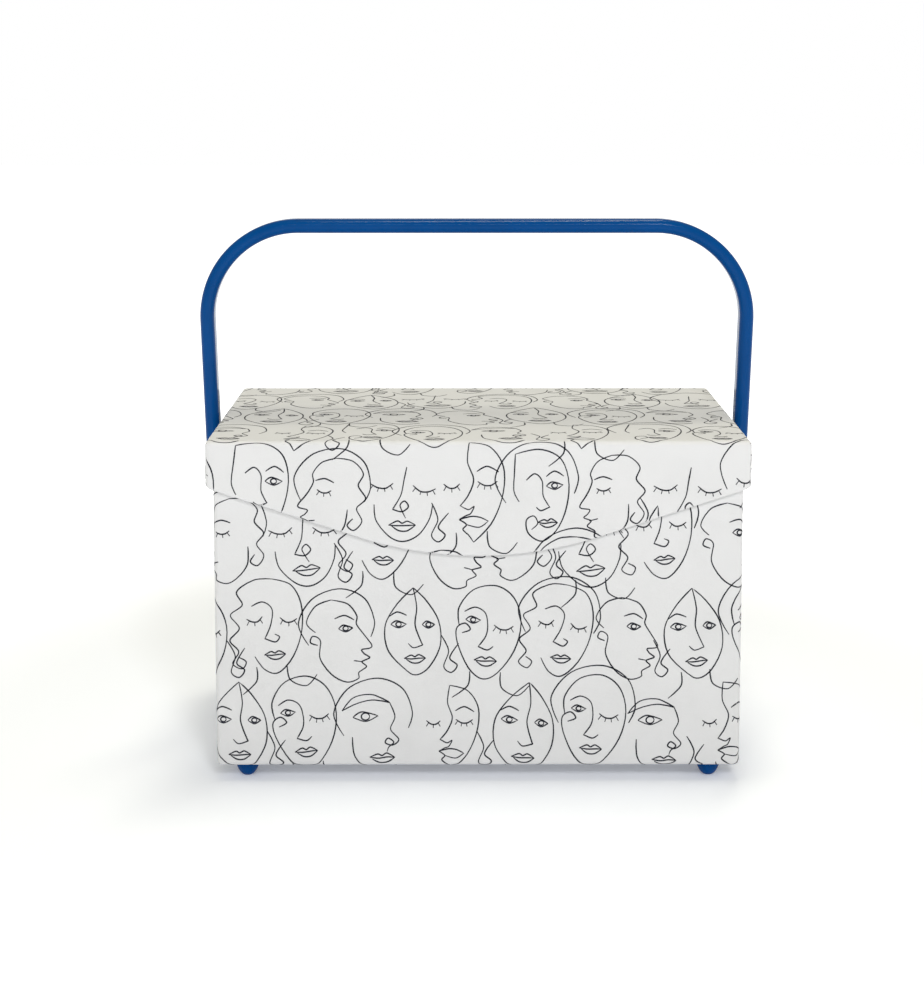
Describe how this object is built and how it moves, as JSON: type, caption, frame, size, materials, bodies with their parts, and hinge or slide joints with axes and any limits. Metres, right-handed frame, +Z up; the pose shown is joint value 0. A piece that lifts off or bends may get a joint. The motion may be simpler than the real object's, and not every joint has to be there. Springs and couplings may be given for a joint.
{
  "type": "sewing box with trays",
  "caption": "Rectangular cloth-covered sewing box with a hinged lid, a pointed front flap, an upright bail handle, domed feet and lift-out trays.",
  "frame": {"origin": "on the floor under the middle of the box", "axes": "+X along the box's length to its right seen from the front, -Y towards the front flap, +Z up"},
  "size_m": [0.349, 0.2, 0.3304],
  "materials": {
    "printed_cloth": "matt white cotton with a thin dark line print",
    "base_cloth": "matt plain grey cloth",
    "lining_cloth": "matt plain off-white cloth",
    "greyboard": "raw",
    "blue_plastic": "moulded, semi-gloss",
    "steel": "nickel plated",
    "nylon": "matt",
    "ledge_wood": "plain planed pine",
    "felt": "matt felt",
    "elastic": "woven elastic",
    "tray_plastic": "moulded, satin"
  },
  "bodies": {
    "case": {"base_board": "greyboard", "front_wall_board": "greyboard", "back_wall_board": "greyboard", "left_wall_board": "greyboard", "right_wall_board": "greyboard", "case_cover": "printed_cloth", "base_cover": "base_cloth", "case_lining": "lining_cloth", "base_pad": "lining_cloth", "front_tray_ledge": "ledge_wood", "back_tray_ledge": "ledge_wood", "front_left_foot": "blue_plastic", "front_right_foot": "blue_plastic", "back_left_foot": "blue_plastic", "back_right_foot": "blue_plastic", "front_left_foot_screw": "steel", "front_right_foot_screw": "steel", "back_left_foot_screw": "steel", "back_right_foot_screw": "steel", "left_handle_bracket": "blue_plastic", "right_handle_bracket": "blue_plastic", "left_upper_rivet": "steel", "left_lower_rivet": "steel", "right_upper_rivet": "steel", "right_lower_rivet": "steel", "closure_plate": "steel", "hinge_tape": "lining_cloth"},
    "lid": {"lid_board": "greyboard", "flap_board": "greyboard", "left_skirt_board": "greyboard", "right_skirt_board": "greyboard", "lid_cover": "printed_cloth", "lid_lining": "lining_cloth", "pincushion": "felt", "lid_pocket": "lining_cloth", "pocket_band": "elastic", "flap_magnet": "steel"},
    "handle_pins": {"left_pivot_pin": "steel", "right_pivot_pin": "steel", "left_pivot_washer": "nylon", "right_pivot_washer": "nylon"},
    "handle": {"handle_bow": "blue_plastic"},
    "left_tray": {"left_tray": "tray_plastic"},
    "right_tray": {"right_tray": "tray_plastic"}
  },
  "joints": [
    {"name": "lid_open", "type": "hinge", "parent": "case", "child": "lid", "pos_m": [0, 0.0956, 0.2004], "axis": [-1, 0, 0], "range_deg": [0, 100], "deforming": ["hinge_tape"]},
    {"name": "pins_turn", "type": "hinge", "parent": "case", "child": "handle_pins", "pos_m": [0, 0, 0.1685], "axis": [-1, 0, 0], "range_deg": [0, 80]},
    {"name": "handle_swing", "type": "hinge", "parent": "handle_pins", "child": "handle", "pos_m": [0, 0, 0.1685], "axis": [-1, 0, 0], "range_deg": [-127, 47]},
    {"name": "left_tray_lift", "type": "slide", "parent": "case", "child": "left_tray", "axis": [0, 0, 1], "range_m": [0, 0.063]},
    {"name": "right_tray_lift", "type": "slide", "parent": "case", "child": "right_tray", "axis": [0, 0, 1], "range_m": [0, 0.063]}
  ],
  "couplings": [
    {"joint": "pins_turn", "follows": "lid_open", "ratio": 0.8},
    {"joint": "left_tray_lift", "follows": "lid_open", "m_per_rad": 0.036},
    {"joint": "right_tray_lift", "follows": "lid_open", "m_per_rad": 0.036}
  ]
}
